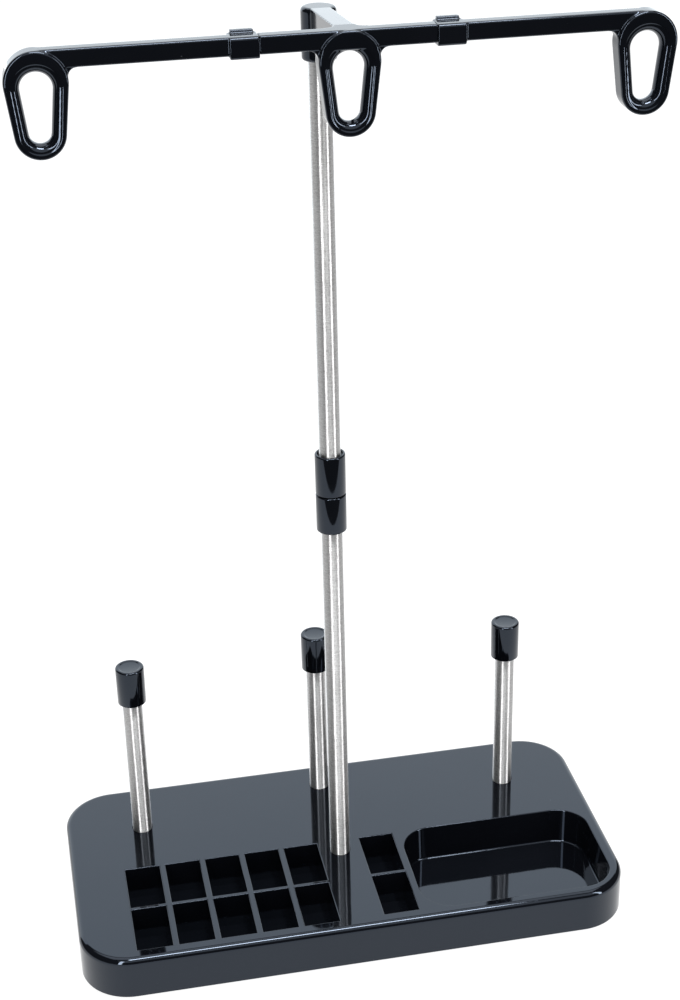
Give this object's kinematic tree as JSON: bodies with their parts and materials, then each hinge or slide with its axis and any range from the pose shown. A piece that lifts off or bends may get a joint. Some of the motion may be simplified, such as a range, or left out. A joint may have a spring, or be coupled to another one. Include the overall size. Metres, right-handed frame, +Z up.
{
  "type": "thread spool stand",
  "caption": "Free-standing thread stand: moulded base with spool pins, bobbin pockets and a tray, and a two-part steel pole carrying a swivelling bar of thread loops.",
  "frame": {"origin": "middle of the base's footprint, on the surface that the feet stand on", "axes": "+Z up along the pole, +X along the base's long side to the right, -Y towards the front with the pockets and the tray"},
  "size_m": [0.2036, 0.1066, 0.3409],
  "materials": {
    "base_plastic": "glossy black injection-moulded polystyrene, mirror-like on the flat top",
    "guide_plastic": "glossy black injection-moulded plastic",
    "cap_plastic": "glossy black, slightly dished on top",
    "coupling_plastic": "glossy black turned-looking collar",
    "steel_tube": "satin stainless steel with a fine brushed grain",
    "fasteners": "zinc-plated steel",
    "nylon_plugs": "grey nylon, hidden inside the tubes",
    "rubber_feet": "matt black rubber"
  },
  "bodies": {
    "base": {"base_shell": "base_plastic", "rubber_foot_front_left": "rubber_feet", "rubber_foot_front_right": "rubber_feet", "rubber_foot_rear_left": "rubber_feet", "rubber_foot_rear_right": "rubber_feet", "pole_foot_plug": "nylon_plugs", "pole_foot_washer": "fasteners", "pole_foot_screw": "fasteners", "left_pin_foot_plug": "nylon_plugs", "left_pin_foot_washer": "fasteners", "left_pin_foot_screw": "fasteners", "middle_pin_foot_plug": "nylon_plugs", "middle_pin_foot_washer": "fasteners", "middle_pin_foot_screw": "fasteners", "right_pin_foot_plug": "nylon_plugs", "right_pin_foot_washer": "fasteners", "right_pin_foot_screw": "fasteners", "left_pin_tube": "steel_tube", "left_pin_cap": "cap_plastic", "middle_pin_tube": "steel_tube", "middle_pin_cap": "cap_plastic", "right_pin_tube": "steel_tube", "right_pin_cap": "cap_plastic", "pole_lower_tube": "steel_tube", "pole_lower_collar": "coupling_plastic"},
    "upper_pole": {"pole_upper_tube": "steel_tube", "pole_upper_plug": "nylon_plugs"},
    "coupling_nut": {"pole_coupling_nut": "coupling_plastic"},
    "thread_guide": {"guide_head": "guide_plastic", "guide_arm_left": "guide_plastic", "guide_arm_right": "guide_plastic"}
  },
  "joints": [
    {"name": "nut_turn", "type": "hinge", "parent": "upper_pole", "child": "coupling_nut", "pos_m": [0, -0.005, 0.177], "axis": [0, 0, 1], "range_deg": [0, 1440]},
    {"name": "pole_lift", "type": "slide", "parent": "base", "child": "upper_pole", "axis": [0, 0, 1], "range_m": [0, 0.006]},
    {"name": "head_swivel", "type": "hinge", "parent": "upper_pole", "child": "thread_guide", "pos_m": [0, -0.005, 0.33], "axis": [0, 0, 1], "continuous": true}
  ],
  "couplings": [
    {"joint": "nut_turn", "follows": "pole_lift", "rad_per_m": 4188.8}
  ]
}
